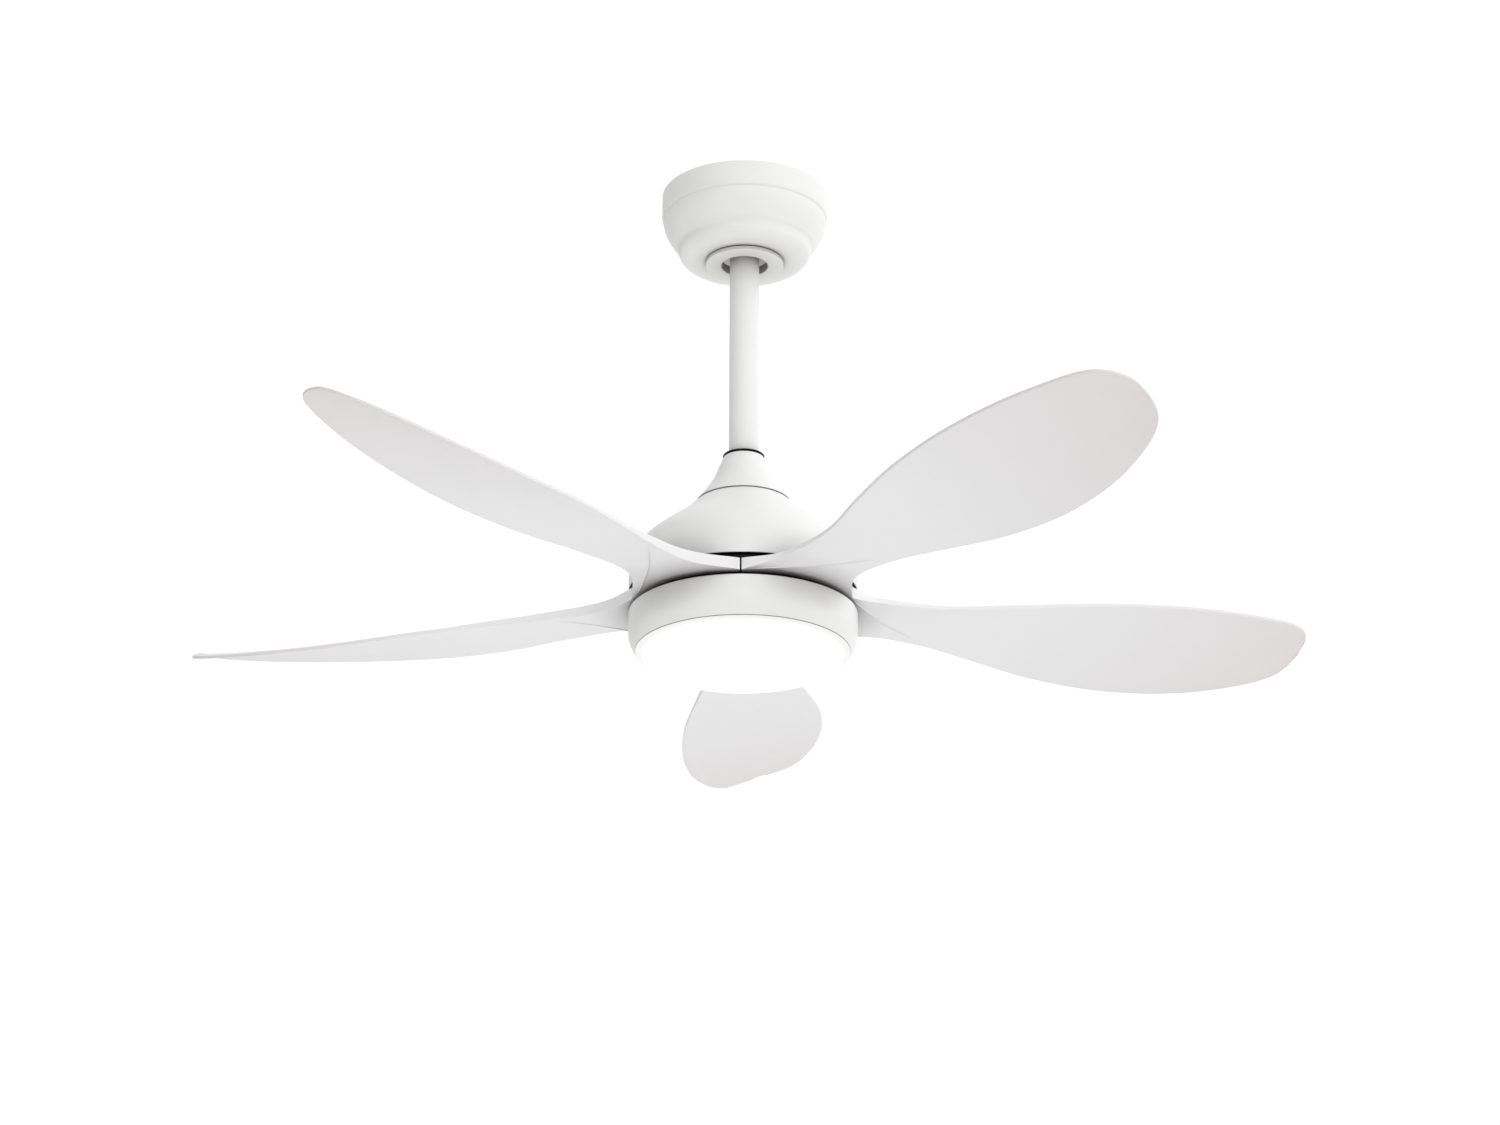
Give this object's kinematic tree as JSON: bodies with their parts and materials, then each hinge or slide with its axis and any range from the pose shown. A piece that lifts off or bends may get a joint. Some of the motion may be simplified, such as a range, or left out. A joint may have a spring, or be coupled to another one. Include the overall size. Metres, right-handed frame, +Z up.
{
  "type": "ceiling fan with light",
  "caption": "White ceiling fan with propeller-shaped blades on a short downrod, a cup canopy and a round opal light under the hub.",
  "frame": {"origin": "on the ceiling plane, at the fan's vertical axis, in the middle of the hanger bracket's top face", "axes": "+Z up into the ceiling, everything hangs below z = 0; -Y is the side seen in the picture, +X to its right"},
  "size_m": [1.0193, 0.9818, 0.457],
  "materials": {
    "white_paint": "satin powder coat",
    "white_plastic": "satin",
    "blade_plastic": "satin moulded ABS",
    "opal": "lit opal polycarbonate",
    "black_plastic": "matte",
    "black_rubber": "matte",
    "black_metal": "matte black paint",
    "zinc_steel": "zinc plated",
    "grey_steel": "plain steel",
    "cast_aluminium": "as cast",
    "copper": "enamelled copper wire",
    "ferrite": "sintered",
    "board_white": "white solder mask",
    "green_screw": "green plated"
  },
  "bodies": {
    "ceiling_mount": {"hanger_bracket": "zinc_steel", "canopy": "white_paint", "canopy_trim_ring": "white_plastic", "canopy_screw_1": "zinc_steel", "canopy_screw_2": "zinc_steel", "remote_receiver": "black_plastic", "terminal_block": "white_plastic", "ground_screw": "green_screw"},
    "fan_body": {"downrod": "white_paint", "coupling_cover": "white_paint", "motor_housing": "white_paint", "light_pan": "white_paint", "led_driver": "white_plastic", "lead_cable": "white_plastic", "hanger_ball": "black_plastic", "rod_seal": "black_rubber", "light_plate": "black_metal", "ball_cross_pin": "zinc_steel", "clevis_pin": "zinc_steel", "cotter_pin": "zinc_steel", "housing_screw_1": "zinc_steel", "housing_screw_2": "zinc_steel", "housing_screw_3": "zinc_steel", "upper_bearing": "zinc_steel", "lower_bearing": "zinc_steel", "shaft_nut": "zinc_steel", "pan_screw_1": "zinc_steel", "pan_screw_2": "zinc_steel", "pan_screw_3": "zinc_steel", "board_screw_1": "zinc_steel", "board_screw_2": "zinc_steel", "board_screw_3": "zinc_steel", "ball_set_screw": "grey_steel", "collar_set_screw_1": "grey_steel", "collar_set_screw_2": "grey_steel", "motor_shaft": "grey_steel", "stator_core": "grey_steel", "motor_collar": "cast_aluminium", "stator_winding": "copper", "led_board": "board_white"},
    "rotor": {"rotor_upper_shell": "black_metal", "rotor_lower_shell": "black_metal", "magnet_ring": "ferrite", "blade_1": "blade_plastic", "blade_2": "blade_plastic", "blade_3": "blade_plastic", "blade_4": "blade_plastic", "blade_5": "blade_plastic", "blade_screw_1_1": "zinc_steel", "blade_screw_1_2": "zinc_steel", "blade_screw_2_1": "zinc_steel", "blade_screw_2_2": "zinc_steel", "blade_screw_3_1": "zinc_steel", "blade_screw_3_2": "zinc_steel", "blade_screw_4_1": "zinc_steel", "blade_screw_4_2": "zinc_steel", "blade_screw_5_1": "zinc_steel", "blade_screw_5_2": "zinc_steel"},
    "light_cover": {"diffuser": "opal"}
  },
  "joints": [
    {"name": "hanger_swing", "type": "hinge", "parent": "ceiling_mount", "child": "fan_body", "pos_m": [0, 0, -0.036], "axis": [0, 1, 0], "range_deg": [-10, 10]},
    {"name": "rotor_spin", "type": "hinge", "parent": "fan_body", "child": "rotor", "pos_m": [0, 0, -0.39], "axis": [0, 0, 1], "continuous": true},
    {"name": "diffuser_twist", "type": "hinge", "parent": "fan_body", "child": "light_cover", "pos_m": [0, 0, -0.4427], "axis": [0, 0, 1], "range_deg": [0, 20]}
  ]
}
